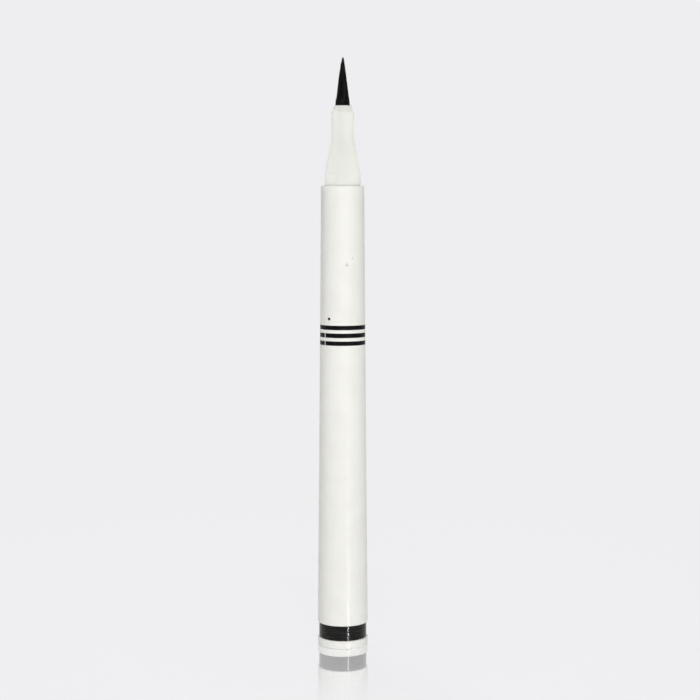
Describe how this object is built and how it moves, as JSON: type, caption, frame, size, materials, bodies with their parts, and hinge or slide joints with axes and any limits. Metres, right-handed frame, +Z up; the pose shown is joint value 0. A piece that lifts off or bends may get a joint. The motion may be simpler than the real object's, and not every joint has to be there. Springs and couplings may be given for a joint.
{
  "type": "liquid eyeliner pen",
  "caption": "Liquid eyeliner pen standing cap off: tapered white barrel with black stripes, milky nib holder, black brush tip and an inset black tail ring.",
  "frame": {"origin": "centre of the tail plug's flat foot", "axes": "+Z up the pen's axis, from the foot to the brush point; the pen is round about Z"},
  "size_m": [0.0104, 0.0104, 0.1223],
  "materials": {
    "barrel_white": "gloss",
    "plug_white": "gloss",
    "ring_black": "gloss",
    "holder_natural": "satin",
    "brush_black": "wet filaments",
    "ferrule_natural": "satin",
    "wick_fibre": "fibrous",
    "collector_natural": "satin",
    "ball_steel": "polished"
  },
  "bodies": {
    "pen": {"barrel": "barrel_white", "nib_holder": "holder_natural", "brush_tip": "brush_black", "brush_ferrule": "ferrule_natural", "relay_wick": "wick_fibre", "collector": "collector_natural", "tail_ring": "ring_black", "tail_plug": "plug_white"},
    "ball": {"mixing_ball": "ball_steel"}
  },
  "joints": [
    {"name": "ball_slide", "type": "slide", "parent": "pen", "child": "ball", "axis": [0, 0, 1], "range_m": [0, 0.0529]}
  ]
}
